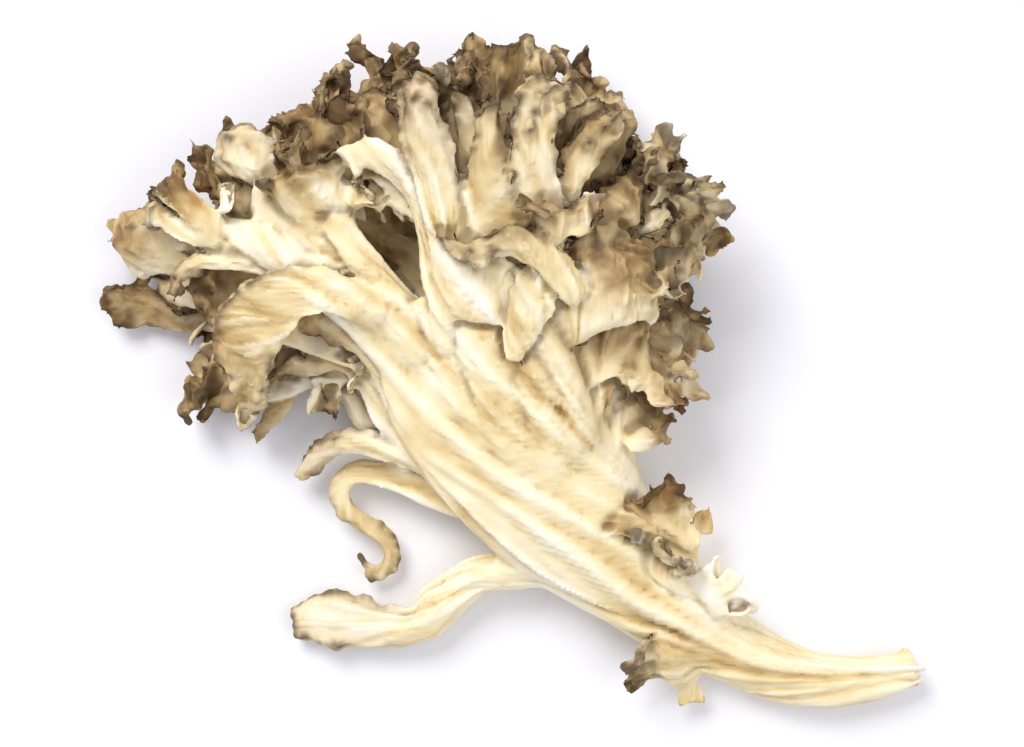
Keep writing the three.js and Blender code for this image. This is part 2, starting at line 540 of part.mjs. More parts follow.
// Low caps that stand on the table under the fan and carry it.
const UNDER_PIECES = [
  {
    name: "under_cap_left", tone: "cap", make: frond, cup: [-20, -50, -70], curl: -20,
    spine: [[-6, 2, 5.6], [-13.6, 8, 5.4], [-21, 12.6, 4], [-29, 16.4, 1.2]],
    width: [9, 11, 13, 13], frill: 1, sideFrill: 0.6, waves: 2, phase: 0.9, steps: [6, 6],
  },
  {
    name: "under_cap_upper", tone: "cap", make: frond, cup: [-20, -40, -60], curl: -20,
    spine: [[-5, 4, 5.8], [-10.4, 12.6, 5.4], [-15, 20.4, 4], [-19.4, 28, 1.2]],
    width: [8, 10, 12, 12], frill: 0.9, sideFrill: 0.6, waves: 2, phase: 1.5, steps: [6, 6],
  },
  {
    name: "under_cap_middle", tone: "cap", make: frond, cup: [-20, -40, -60], curl: -20,
    spine: [[-2, 6, 6], [-4.6, 15.6, 6], [-7.4, 25, 4.6], [-9.6, 33.4, 1.2]],
    width: [9, 11, 13, 13.6], frill: 1, sideFrill: 0.6, waves: 2, phase: 2.1, steps: [6, 6],
  },
  {
    name: "under_cap_right", tone: "cap", make: frond, cup: [-20, -40, -50], curl: -20,
    spine: [[3, 3, 5.8], [8.6, 10.4, 5.4], [14, 16.6, 3.8], [19.4, 22, 1.2]],
    width: [9, 11, 13.6, 13], frill: 1, sideFrill: 0.6, waves: 2, phase: 0.2, steps: [6, 6],
  },
  {
    name: "under_cap_low", tone: "cap", make: frond, cup: [-20, -40, -40],
    spine: [[4, -4, 5.4], [10, 1, 4.6], [15.6, 5.2, 3], [20.4, 8.6, 1.2]],
    width: [7, 8.6, 10, 9], frill: 0.8, sideFrill: 0.5, waves: 2, phase: 1.2, steps: [6, 5],
  },
];

const PIECES = [
  ...STEM_PIECES, ...LEFT_PIECES, ...UPPER_LEFT_PIECES, ...CENTRE_PIECES, ...RIGHT_PIECES, ...UNDER_PIECES,
];

// The table cuts every foot that reaches it flat.
const tableTop = solidOf(
  new THREE.BoxGeometry(4 * DRAWN_SPAN, 4 * DRAWN_SPAN, DRAWN_SPAN).translate(0, 0, -DRAWN_SPAN / 2),
);

const largest = (solid) => solid.decompose().reduce((a, b) => (b.volume() > a.volume() ? b : a));

// A piece keeps GAP to every piece listed before it, and is the largest body left by those cuts. Where a
// tight curl leaves its fattened copy short, the piece itself cuts again.
const cutters = [];
function cutClear(spec) {
  let solid = solidOf(spec.make(spec, 0)).subtract(tableTop);
  for (const { fattened } of cutters) solid = solid.subtract(fattened);
  for (const { kept } of cutters) if (solid.intersect(kept).volume() > 1e-3) solid = solid.subtract(kept);
  const kept = largest(solid);
  cutters.push({ kept, fattened: solidOf(spec.make(spec, GAP)) });
  return kept;
}

function meshOf(spec) {
  const { vertProperties, triVerts } = cutClear(spec).getMesh();
  const geometry = new THREE.BufferGeometry()
    .setAttribute("position", new THREE.BufferAttribute(vertProperties, 3))
    .setIndex(new THREE.BufferAttribute(triVerts, 1));
  geometry.computeVertexNormals();
  const mesh = new THREE.Mesh(geometry, new THREE.MeshStandardMaterial(TONES[spec.tone]));
  mesh.name = spec.name;
  return mesh;
}

const cluster = new THREE.Group();
cluster.add(...PIECES.map(meshOf));
cluster.scale.setScalar(SPAN / DRAWN_SPAN);

// Stand the origin on the table, under the middle of the outer box.
const box = new THREE.Box3().setFromObject(cluster, true);
const middleOfBox = box.getCenter(new THREE.Vector3());
cluster.position.set(-middleOfBox.x, -middleOfBox.y, -box.min.z);

export default cluster;
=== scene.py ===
import json
import math

import bpy
import numpy as np
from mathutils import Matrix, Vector
from mathutils.bvhtree import BVHTree
from mathutils.kdtree import KDTree


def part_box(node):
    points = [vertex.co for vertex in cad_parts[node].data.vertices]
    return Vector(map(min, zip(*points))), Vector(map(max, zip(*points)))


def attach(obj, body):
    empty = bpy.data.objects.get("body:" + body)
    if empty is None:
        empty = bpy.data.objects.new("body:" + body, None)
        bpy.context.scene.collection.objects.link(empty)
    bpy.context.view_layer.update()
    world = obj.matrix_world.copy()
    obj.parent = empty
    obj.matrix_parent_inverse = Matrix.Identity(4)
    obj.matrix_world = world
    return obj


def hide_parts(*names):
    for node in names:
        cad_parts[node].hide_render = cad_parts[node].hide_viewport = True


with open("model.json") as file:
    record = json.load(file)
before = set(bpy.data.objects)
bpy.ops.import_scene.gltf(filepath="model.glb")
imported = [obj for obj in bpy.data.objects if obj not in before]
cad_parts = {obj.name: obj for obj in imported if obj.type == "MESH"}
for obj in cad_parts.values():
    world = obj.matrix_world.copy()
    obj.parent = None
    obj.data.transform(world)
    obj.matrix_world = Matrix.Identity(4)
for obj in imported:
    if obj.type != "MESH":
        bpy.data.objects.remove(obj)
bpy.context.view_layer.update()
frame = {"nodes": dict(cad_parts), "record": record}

# ---------------------------------------------------------------------------------------------------
# THE FLESH. A maitake cluster is one body: a flattened stem that splits into fronds, each ending in a
# cap, with no joint anywhere. The frame's solids stand a hair apart, so they are swollen until they
# touch and one skin is wrapped round them all, to be frilled, dried and then cut into its pieces.

MM = 0.001
SWELL_MM = 0.17  # a little over half of the air between two solids
SQUARE_MM = 0.3
BACK = -0.53  # undoes most of the shrinking that a round of smoothing brings
FORM_ROUNDS = 14  # rounds of blending that leave the form of a frond but not that of its margin
FAR_MM = 1e6
TINY = 1e-9

names = sorted(frame["nodes"])


def unit(vectors):
    """The same directions, each of length 1."""
    return vectors / np.maximum(np.linalg.norm(vectors, axis=-1, keepdims=True), TINY)


def between(low, high, x):
    """Rises smoothly from 0 at low to 1 at high."""
    t = np.clip((x - low) / (high - low), 0, 1)
    return t * t * (3 - 2 * t)


def corners_and_faces(mesh, sides, scale=1.0):
    """A mesh's corners and its faces, which all have the same number of sides."""
    points = np.empty(3 * len(mesh.vertices))
    mesh.vertices.foreach_get("co", points)
    faces = np.empty(len(mesh.loops), dtype=np.int64)
    mesh.loops.foreach_get("vertex_index", faces)
    return points.reshape(-1, 3) * scale, faces.reshape(-1, sides)


def normals_of(points, faces):
    """The way out at each corner of some triangles or squares."""
    total = np.zeros_like(points)
    for a, b, c in [(0, 1, 2)] if faces.shape[1] == 3 else [(0, 1, 2), (0, 2, 3)]:
        start = points[faces[:, a]]
        cross = np.cross(points[faces[:, b]] - start, points[faces[:, c]] - start)
        for corner in range(faces.shape[1]):
            for k in range(3):
                total[:, k] += np.bincount(faces[:, corner], weights=cross[:, k], minlength=len(points))
    return unit(total)


def solid_of(name):
    """A CAD solid's corners in millimetres, each only once, and its triangles."""
    points, faces = corners_and_faces(frame["nodes"][name].data, 3, 1 / MM)
    keys = np.round(points * 1e4).astype(np.int64)
    _, first, place = np.unique(keys, axis=0, return_index=True, return_inverse=True)
    faces = place.reshape(-1)[faces]
    whole = (faces != np.roll(faces, 1, axis=1)).all(1)
    return points[first], faces[whole]


def stacked(shells):
    """Several shells as one list of points and one of faces."""
    starts = np.cumsum([0] + [len(points) for points, _ in shells])
    faces = [faces + start for (_, faces), start in zip(shells, starts)]
    return np.vstack([points for points, _ in shells]), np.vstack(faces)


class Skin:
    """One closed skin of small squares wrapped round a pile of shells, in millimetres."""

    def __init__(self, shells):
        points, faces = stacked(shells)
        mesh = bpy.data.meshes.new("wrap")
        mesh.from_pydata(points.tolist(), [], faces.tolist())
        holder = bpy.data.objects.new("wrap", mesh)
        bpy.context.scene.collection.objects.link(holder)
        wrap = holder.modifiers.new("wrap", "REMESH")
        wrap.mode = "VOXEL"
        wrap.voxel_size = SQUARE_MM
        wrapped = holder.evaluated_get(bpy.context.evaluated_depsgraph_get())
        self.points, self.squares = corners_and_faces(wrapped.to_mesh(), 4)
        wrapped.to_mesh_clear()
        bpy.data.objects.remove(holder)
        bpy.data.meshes.remove(mesh)
        self.join()
        self.drop_crumbs()

    def join(self):
        """Lists each point's neighbours: ends[starts[i]:starts[i + 1]] are those of point i."""
        count = len(self.points)
        a = self.squares.reshape(-1)
        b = np.roll(self.squares, -1, axis=1).reshape(-1)
        edges = np.unique(np.minimum(a, b) * count + np.maximum(a, b))
        a, b = edges // count, edges % count
        sources, ends = np.concatenate([a, b]), np.concatenate([b, a])
        order = np.argsort(sources, kind="stable")
        self.sources, self.ends = sources[order], ends[order]
        self.counts = np.bincount(sources, minlength=count)
        self.starts = np.concatenate([[0], np.cumsum(self.counts)[:-1]])

    def bodies(self, joined=None):
        """Numbers the separate bodies; joined tells which neighbours hold together."""
        body = np.arange(len(self.points))
        while True:
            reached = body[self.ends]
            if joined is not None:
                reached = np.where(joined, reached, len(body))
            lowest = np.minimum(body, np.minimum.reduceat(reached, self.starts))
            lowest = lowest[lowest]
            if (lowest == body).all():
                return body
            body = lowest

    def drop_crumbs(self):
        """Keeps only the largest body."""
        body = self.bodies()
        kept = body == np.argmax(np.bincount(body))
        self.squares = (np.cumsum(kept) - 1)[self.squares[kept[self.squares[:, 0]]]]
        self.points = self.points[kept]
        self.join()

    def spread(self, values, rounds, share=0.5):
        """Blends each point's value with its neighbours' mean, round after round."""
        counts = self.counts if values.ndim == 1 else self.counts[:, None]
        for _ in range(rounds):
            mean = np.add.reduceat(values[self.ends], self.starts, axis=0) / counts
            values = values + share * (mean - values)
        return values

    def smooth(self, rounds):
        """Takes the steps out of the skin without making it smaller."""
        for _ in range(rounds):
            self.points = self.spread(self.spread(self.points, 1), 1, BACK)

    def reach(self, start, limit=FAR_MM):
        """Distance along the skin from the nearest point of start, but no more than limit."""
        lengths = np.linalg.norm(self.points[self.ends] - self.points[self.sources], axis=1)
        far = np.where(start, 0.0, FAR_MM)
        while True:
            nearer = np.minimum(far, np.minimum.reduceat(far[self.ends] + lengths, self.starts))
            nearer[nearer > limit] = FAR_MM
            if (np.abs(nearer - far) < 1e-6).all():
                return np.minimum(far, limit)
            far = nearer

    def study(self):
        """Works out the normals, the way out of each rim, and how far each point bulges."""
        self.normal = normals_of(self.points, self.squares)
        self.outward = unit(self.spread(self.normal, FORM_ROUNDS))
        self.bulge = ((self.points - self.spread(self.points, FORM_ROUNDS)) * self.outward).sum(1)


solids = [solid_of(name) for name in names]
solid_points, solid_faces = stacked(solids)
solid_tree = BVHTree.FromPolygons(solid_points.tolist(), solid_faces.tolist())
face_owner = np.repeat(np.arange(len(names)), [len(faces) for _, faces in solids])


def owners_of(points):
    """The number of the CAD solid that lies nearest to each point."""
    return face_owner[[solid_tree.find_nearest(point)[2] for point in points]]


swollen = [(points + SWELL_MM * normals_of(points, faces), faces) for points, faces in solids]

# ---------------------------------------------------------------------------------------------------
# THE FRILLS. The margins of the wilder caps break up into small lobes, 2 to 5 mm long and less than a
# millimetre thick, that curl over as they dry. Each is a bent sheet rooted in a cap's margin, and is
# added before the skin is wrapped, so that it grows out of the cap.

# How much each frond crumples as it dries, from a stiff stem at 0 to the frilliest caps at 1.
CRUMPLE_STEM = {
    "main_stem": 0.05, "side_stub": 0.24, "face_slab_left": 0.1, "face_slab_middle": 0.1,
    "face_slab_right": 0.12, "face_rib": 0.12, "left_bough": 0.08, "upper_left_bough": 0.08,
}
CRUMPLE_TENDRILS = {"straight_tendril": 0.18, "curled_tendril": 0.16}
CRUMPLE_TORN = {
    "torn_flap": 0.6, "torn_lip": 0.6, "torn_scale": 0.6, "torn_ribbon": 0.35, "right_strip": 0.3,
}
CRUMPLE_FRONDS = {
    "pale_lobe": 0.22, "left_fold_upper": 0.2, "left_fold_lower": 0.2, "left_under_strip": 0.2,
    "left_crown_cap": 0.35, "left_hook_cap": 0.35, "left_finger": 0.25, "arch_left": 0.15,
    "arch_right": 0.15, "pale_loop_cap": 0.3, "hook_frond": 0.25, "centre_frond_left": 0.25,
    "centre_blade": 0.2, "curl_frond": 0.3, "slant_strip": 0.25, "hanging_tongue": 0.25,
}
CRUMPLE_SMOOTH_CAPS = {
    "left_hood": 0.3, "left_small_cap": 0.45, "left_tongue": 0.3, "left_cup": 0.25, "left_fringe": 0.6,
    "left_prong": 0.4, "dark_tongue": 0.4, "centre_frond_right": 0.35, "grey_cup": 0.35, "tan_lobe": 0.45,
    "right_roll": 0.4, "right_fan": 0.3, "right_low_lobe": 0.5, "right_prong": 0.5, "upper_right_lobe": 0.5,
}
CRUMPLE_WILD_CAPS = {
    "crumpled_cap_outer": 0.9, "crumpled_cap_left": 0.9, "crumpled_cap_middle": 0.9,
    "crumpled_cap_upper": 0.9, "crumpled_cap_top": 0.9, "centre_knob": 0.9, "right_crest": 0.9,
    "right_crumple": 1.0,
}
CRUMPLE_LOW_CAPS = {
    "under_cap_left": 0.9, "under_cap_upper": 0.9, "under_cap_middle": 0.9, "under_cap_right": 0.9,
    "under_cap_low": 0.9,
}
crumples = {
    **CRUMPLE_STEM, **CRUMPLE_TENDRILS, **CRUMPLE_TORN, **CRUMPLE_FRONDS, **CRUMPLE_SMOOTH_CAPS,
    **CRUMPLE_WILD_CAPS, **CRUMPLE_LOW_CAPS,
}
crumple_of = np.array([crumples[name] for name in names])
STIFF_TO = 0.25  # a frond that crumples less than this has no frills near it
FRILLED_FROM = 0.44  # a frond that crumples less than this has none itself
FAR_FROM_STIFF = 0.8
RIM_SHARE = 93  # percent of the skin that isn't rim
FRILL_SPACING_MM = 1.9
FRILL_LENGTH_MM = (2.2, 5.0)
FRILL_WIDTH_MM = (2.2, 4.8)
FRILL_THICK_MM = (0.75, 1.0)
FRILL_YAW = (-0.5, 0.5)
FRILL_BEND = (0.5, 2.6)
FRILL_CUP = (0.3, 1.6)
FRILL_TURN = (-0.8, 0.8)
ROOT_MM = 1.2  # how deep a frill is rooted
LOWEST_FRILL_MM = 1.2
LOWEST_TIP_MM = 0.6


def frill(base, out, across, length, width, thick, bend, cup, turn, rows=6, columns=5):
    """A small lobe that leaves base along out, bends over, cups across and turns about its length."""
    up = np.cross(across, out)
    place = base - out * ROOT_MM
    sheet = np.zeros((2, rows + 1, columns + 1, 3))
    for i in range(rows + 1):
        t = i / rows
        heading = bend * t**1.2
        forward = out * math.cos(heading) + up * math.sin(heading)
        lift = up * math.cos(heading) - out * math.sin(heading)
        side = across * math.cos(turn * t) + lift * math.sin(turn * t)
        lift = lift * math.cos(turn * t) - across * math.sin(turn * t)
        span = width * (0.55 + 0.9 * t - 0.5 * t**3)
        arc = max(abs(cup * t), 0.2)
        for j in range(columns + 1):
            u = -1 + 2 * j / columns
            angle = math.copysign(arc, cup) * u
            radius = span / 2 / arc
            middle = place + side * radius * math.sin(arc * u)
            middle = middle + lift * math.copysign(radius * (1 - math.cos(angle)), cup)
            if i == rows:
                middle = middle - forward * 0.25 * u * u * length / rows
            out_of_sheet = lift * math.cos(angle) - side * math.sin(angle)
            half = thick / 2 * (1 - 0.3 * t)
            sheet[0, i, j] = middle + out_of_sheet * half
            sheet[1, i, j] = middle - out_of_sheet * half
        place = place + forward * (length + ROOT_MM) / rows
    corner = np.arange(sheet.size // 3).reshape(sheet.shape[:3])
    front, back = corner
    edge_front = np.concatenate([front[0, :-1], front[:-1, -1], front[-1, :0:-1], front[:0:-1, 0]])
    edge_back = np.concatenate([back[0, :-1], back[:-1, -1], back[-1, :0:-1], back[:0:-1, 0]])
    squares = [
        np.stack([front[:-1, :-1], front[:-1, 1:], front[1:, 1:], front[1:, :-1]], -1).reshape(-1, 4),
        np.stack([back[:-1, :-1], back[1:, :-1], back[1:, 1:], back[:-1, 1:]], -1).reshape(-1, 4),
        np.stack([edge_front, edge_back, np.roll(edge_back, -1), np.roll(edge_front, -1)], -1),
    ]
    squares = np.vstack(squares)
    return sheet.reshape(-1, 3), np.vstack([squares[:, [0, 1, 2]], squares[:, [0, 2, 3]]])


smooth_skin = Skin(swollen)
smooth_skin.smooth(8)
smooth_skin.study()
smooth_owner = owners_of(smooth_skin.points)
wild = smooth_skin.spread(between(STIFF_TO, FRILLED_FROM, crumple_of[smooth_owner]), 30) > FAR_FROM_STIFF
wild &= (crumple_of[smooth_owner] >= FRILLED_FROM) & (smooth_skin.points[:, 2] > LOWEST_FRILL_MM)
rims = np.flatnonzero(wild & (smooth_skin.bulge > np.percentile(smooth_skin.bulge, RIM_SHARE)))
dice = np.random.default_rng(7)
dice.shuffle(rims)
frills, taken = [], []
for i in rims:
    base = smooth_skin.points[i]
    if taken and np.linalg.norm(np.array(taken) - base, axis=1).min() < FRILL_SPACING_MM:
        continue
    taken.append(base)
    near = np.array([i])
    for _ in range(3):
        rows = [slice(smooth_skin.starts[p], smooth_skin.starts[p] + smooth_skin.counts[p]) for p in near]
        near = np.unique(np.concatenate([smooth_skin.ends[row] for row in rows]))
    bends = smooth_skin.normal[near] - smooth_skin.normal[near].mean(0)
    along_rim = np.linalg.svd(bends)[2][2]
    out = smooth_skin.outward[i]
    across = unit(along_rim - out * (along_rim @ out))
    yaw = dice.uniform(*FRILL_YAW)
    out, across = (
        unit(out * math.cos(yaw) + across * math.sin(yaw)),
        unit(across * math.cos(yaw) - out * math.sin(yaw)),
    )
    length = dice.uniform(*FRILL_LENGTH_MM)
    width = dice.uniform(*FRILL_WIDTH_MM)
    thick = dice.uniform(*FRILL_THICK_MM)
    bend = dice.choice([-1, 1]) * dice.uniform(*FRILL_BEND)
    cup = dice.choice([-1, 1]) * dice.uniform(*FRILL_CUP)
    turn = dice.uniform(*FRILL_TURN)
    for way in (bend, -bend):
        made = frill(base, out, across, length, width, thick, way, cup, turn)
        if made[0][:, 2].min() > LOWEST_TIP_MM:
            frills.append(made)
            break

# ---------------------------------------------------------------------------------------------------
# DRYING. As the flesh dries it shrinks round its fibres, which run from the torn butt to every tip: thin
# fronds grow thinner, their margins crumple and fray, and fine ridges stand up along the grain.

SHRINK_MM = 0.32
SHRINK_SHARE = 0.2  # of the thickness, where that is less than SHRINK_MM
THICKEST_MM = 9.0
SHARPEN = 0.7
PLUMP = 0.85
STEP_MM = 1.1  # between the places that one fibre is followed through
WRINKLES_MM = ((6.0, 1.0, 11), (2.6, 0.45, 12), (1.3, 0.16, 13))  # size, height, seed
FRAY_MM = ((1.7, 0.9, 14), (0.8, 0.5, 15))
RIDGES_MM = (0.14, 0.055, 0.03)
GROOVE_MM = 0.45  # how deep two fronds are parted where they meet
BUTT_MM = 1.2  # how far in from the stem's outermost point its torn end begins
TORN_END_MM = 4.0
TORN_MM = (0.9, 0.5)
SQUASH_MM = 0.8  # flesh lower than this is pressed flatter by the table
SIGHT_MM = 9.0
SIGHTS = 9  # lines of sight from a point
LATTICE = 32

skin = Skin(swollen + frills)
skin.smooth(6)
skin.study()
owner = owners_of(skin.points)


def noise(points, size, seed, channels=3):
    """Smooth random numbers in space, between about -1 and 1, that change over size millimetres."""
    lattice = np.random.default_rng(seed).uniform(-1, 1, (LATTICE, LATTICE, LATTICE, channels))
    cell = np.floor(points / size).astype(int)
    t = points / size - cell
    t = t * t * t * (t * (t * 6 - 15) + 10)
    total = 0
    for corner in np.ndindex(2, 2, 2):
        weight = np.prod(np.where(corner, t, 1 - t), axis=1)
        total = total + weight[:, None] * lattice[tuple(((cell + corner) % LATTICE).T)]
    return total


# Distance from the torn butt along the flesh, and each point's share of its own frond's length.
butt_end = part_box("main_stem")[1].x / MM - BUTT_MM
along = skin.spread(skin.reach(skin.points[:, 0] > butt_end), 12)
tip = np.zeros(len(skin.points))
for number, name in enumerate(names):
    mine = owner == number
    root, end = np.percentile(along[mine], [3, 98])
    tip[mine] = np.clip((along[mine] - root) / (end - root), 0, 1) * (0.1 if name == "main_stem" else 1)
tip = skin.spread(tip, 24)

# Thin fronds shrink and their folds sharpen; the stem stays plump, and roots melt into what bears them.
inside = BVHTree.FromPolygons(skin.points.tolist(), skin.squares.tolist())
beneath = skin.points - 0.05 * skin.normal
depths = [inside.ray_cast(p, -n, THICKEST_MM)[3] for p, n in zip(beneath, skin.normal)]
thickness = skin.spread(np.array([THICKEST_MM if depth is None else depth for depth in depths]), 3)
lean = skin.spread(between(0.11, 0.22, crumple_of[owner]), 10) * between(0.02, 0.22, tip)
skin.points += skin.outward * (SHARPEN * lean * np.clip(skin.bulge, -0.5, 0.35))[:, None]
skin.points -= skin.normal * (lean * np.minimum(SHRINK_SHARE * thickness, SHRINK_MM))[:, None]
plump = skin.spread(skin.points, 70)
skin.points += (plump - skin.points) * (PLUMP * (1 - lean))[:, None]
skin.smooth(2)
skin.study()

# The grain: which way the fibres run, and random numbers drawn out along them.
steps = skin.points[skin.ends] - skin.points[skin.sources]
flow = skin.spread(along, 90)
rise = (flow[skin.ends] - flow[skin.sources]) / np.maximum((steps**2).sum(1), TINY)
fibre = np.add.reduceat(steps * rise[:, None], skin.starts, axis=0)
for _ in range(26):
    fibre = unit(fibre - skin.normal * (fibre * skin.normal).sum(1, keepdims=True))
    fibre = skin.spread(fibre, 1, 0.6)
fibre = unit(fibre - skin.normal * (fibre * skin.normal).sum(1, keepdims=True))
tree = KDTree(len(skin.points))
for i, point in enumerate(skin.points):
    tree.insert(point, i)
tree.balance()
ahead = np.array([tree.find(point)[1] for point in skin.points + STEP_MM * fibre])
behind = np.array([tree.find(point)[1] for point in skin.points - STEP_MM * fibre])
pull = np.maximum(np.abs((unit(steps) * fibre[skin.sources]).sum(1)), 1e-3) ** 8
pull_sum = np.add.reduceat(pull, skin.starts)


def streaks(seed, width, doublings):
    """Random numbers averaged along each fibre, over 2 to the power of doublings steps each way."""
    value = skin.spread(np.random.default_rng(seed).normal(size=len(skin.points)), width)
    total = 0
    for onward in (ahead, behind):
        line = value
        for _ in range(doublings):
            line = (line + line[onward]) / 2
            onward = onward[onward]
        total = total + line
    for _ in range(10):
        total = 0.3 * total + 0.7 * np.add.reduceat(total[skin.ends] * pull, skin.starts) / pull_sum
    if width > 3:
        total = total - skin.spread(total, 120)
    return total / total.std()


fine, middling, coarse = streaks(1, 0, 3), streaks(2, 3, 4), streaks(3, 12, 4)

rim = skin.reach(skin.bulge > 0.13, 8.0)
crumple = skin.spread(crumple_of[owner], 16) * (0.35 + 1.1 * tip)
margin = (1 - between(0.0, 1.8, rim)) * between(0.25, 0.8, tip) * np.clip(2 * crumple, 0, 1)
border = np.bincount(skin.sources, weights=owner[skin.sources] != owner[skin.ends]) > 0
groove = (1 - between(0.0, 0.9, skin.reach(border, 3.0))) * between(0.12, 0.5, tip)
wrinkled = skin.points.copy()
for size, height, seed in WRINKLES_MM:
    wrinkled += noise(skin.points, size, seed) * (height * crumple)[:, None]
for size, height, seed in FRAY_MM:
    wrinkled += skin.outward * (height * margin * noise(skin.points, size, seed, 1)[:, 0])[:, None]
ridges = RIDGES_MM[0] * coarse * (1 - margin) + RIDGES_MM[1] * middling + RIDGES_MM[2] * fine
wrinkled += skin.normal * (ridges - GROOVE_MM * groove)[:, None]
torn = 1 - between(0.0, TORN_END_MM, along)
wrinkled -= fibre * (torn * (TORN_MM[0] * middling + TORN_MM[1] * coarse))[:, None]
skin.points = wrinkled
skin.smooth(2)
height = skin.points[:, 2]
squashed = SQUASH_MM**2 / (2 * SQUASH_MM - np.minimum(height, SQUASH_MM))
height[:] = np.where(height < SQUASH_MM, squashed, height)
height -= height.min()
skin.study()

# How closed in each point lies, from a few lines of sight at every fourth point, for the painted shade
# below.
outside = BVHTree.FromPolygons(skin.points.tolist(), skin.squares.tolist())
looked = np.arange(0, len(skin.points), 4)
dice = np.random.default_rng(5)
sights = unit(dice.normal(size=(len(looked), SIGHTS, 3)) + 1.1 * skin.normal[looked][:, None, :])
seen, known = np.zeros(len(skin.points)), np.zeros(len(skin.points))
known[looked] = 1
for i, directions in zip(looked, sights):
    eye = skin.points[i] + 0.15 * skin.normal[i]
    distances = [outside.ray_cast(eye, direction, SIGHT_MM)[3] for direction in directions]
    seen[i] = sum(1.0 if d is None else 0.6 * d / SIGHT_MM for d in distances) / len(distances)
shelter = 1 - skin.spread(seen, 6) / np.maximum(skin.spread(known, 6), 1e-6)
hollow = skin.spread(-skin.bulge, 2)

# ---------------------------------------------------------------------------------------------------
# CUTTING APART. The dried body is cut where its fronds part, and each piece keeps the name of the solid
# that it stands for. A cut is closed inside the flesh, and pieces keep the whole skin's normals, so that
# no cut shows.

CUT_DEPTH_MM = 0.25  # how far beneath the skin a cut is closed
SMALLEST_SPLIT = 7  # corners; a smaller loop is closed as it is
ENOUGH_CLEAR = 0.94
WAISTS_TRIED = 1000
# How much less than their neighbours some fronds browned, because they lay covered.
PALER = {
    "pale_lobe": 0.7, "arch_left": 0.5, "arch_right": 0.5, "curl_frond": 0.3, "right_crumple": 0.6,
    "right_crest": 0.45, "right_roll": 0.2,
}

slots = {subpart["node"]: subpart["material_slot"] for subpart in frame["record"]["subparts"]}
cap = skin.spread(np.array([slots[name] == "brown_cap" for name in names], float)[owner], 40)
browning = 0.85 * cap * between(0.1, 0.6, tip)
browning += 0.5 * (1 - between(0.2, 3.6, rim)) * between(0.35, 0.85, tip)
# Painted shade: flesh closed in by its neighbours, where shade falls, is painted browner.
browning += 0.42 * lean * between(0.35, 1.0, tip) + 0.3 * between(0.35, 0.85, shelter)
browning *= 1 - skin.spread(np.array([PALER.get(name, 0.0) for name in names])[owner], 12)
browning *= 1 - 0.2 * between(0.03, 0.2, -hollow)
surface = {
    "grain": (0.11 * fine + 0.15 * middling + 0.1 * coarse) * (0.7 + 0.3 * between(0.1, 0.4, tip)),
    "browning": np.clip(browning, 0, 1),
    "margin": (1 - between(0.0, 1.2, rim)) * between(0.45, 0.9, tip),
    # Painted shade: hollows and closed-in places are darkened towards dark brown.
    "crevice": 1 - (1 - 0.5 * between(0.04, 0.22, hollow)) * (1 - 0.4 * between(0.5, 0.95, shelter)),
}

# Specks of one frond on another go to the frond round them, and each frond keeps only its largest patch.
best = np.zeros(len(skin.points))
patch = owner.copy()
for number in range(len(names)):
    share = skin.spread((owner == number).astype(float), 5)
    patch[share > best] = number
    best = np.maximum(best, share)
body = skin.bodies(patch[skin.sources] == patch[skin.ends])
sizes = np.bincount(body)
lost = np.ones(len(skin.points), bool)
for number in range(len(names)):
    bodies = np.unique(body[patch == number])
    lost[body == bodies[np.argmax(sizes[bodies])]] = False
while lost.any():
    offer = np.maximum.reduceat(np.where(lost[skin.ends], -1, patch[skin.ends]), skin.starts)
    found = lost & (offer >= 0)
    patch[found] = offer[found]
    lost &= ~found
ranked = np.sort(patch[skin.squares], axis=1)
same = [ranked[:, 0] == ranked[:, 1], ranked[:, 1] == ranked[:, 2], ranked[:, 2] == ranked[:, 3]]
square_owner = np.select(same, [ranked[:, 0], ranked[:, 1], ranked[:, 2]], ranked[:, 0])


def edge_loops(squares):
    """The closed loops of corners round the open edges of some squares, turned to close them."""
    a, b = squares.reshape(-1), np.roll(squares, -1, axis=1).reshape(-1)
    pairs = set(zip(a.tolist(), b.tolist()))
    onward = {}
    for start, end in sorted(pairs):
        if (end, start) not in pairs:
            onward.setdefault(end, []).append(start)
    loops = []
    while onward:
        trail, here = [], next(iter(onward))
        while here in onward:
            trail.append(here)
            after = onward[here].pop()
            if not onward[here]:
                del onward[here]
            here = after
            if here in trail:
                turn = trail.index(here)
                loops.append(np.array(trail[turn:]))
                trail = trail[:turn]
    return loops


def clear(start, end):
    """Whether the straight way between two places in the flesh stays inside it."""
    way = Vector(end - start)
    return way.length < 1e-6 or outside.ray_cast(start, way.normalized(), way.length)[0] is None


def rounder(loop, places):
    """Splits a loop into rounder ones, so that faces to their middles close it inside the flesh."""
    points = places[loop]
    middle = points.mean(0)
    if len(loop) < SMALLEST_SPLIT:
        return [loop]
    if np.mean([clear(point, middle) for point in points]) > ENOUGH_CLEAR:
        return [loop]
    a, b = np.triu_indices(len(loop), 3)
    way_round = np.minimum(b - a, len(loop) - b + a)
    a, b, way_round = a[way_round > 2], b[way_round > 2], way_round[way_round > 2]
    waists = np.argsort(np.linalg.norm(points[a] - points[b], axis=1) / way_round, kind="stable")
    inner = (k for k in waists[:WAISTS_TRIED] if clear(points[a[k]], points[b[k]]))
    chosen = next(inner, waists[0])
    i, j = a[chosen], b[chosen]
    rest = np.concatenate([loop[j:], loop[: i + 1]])
    return rounder(loop[i : j + 1], places) + rounder(rest, places)


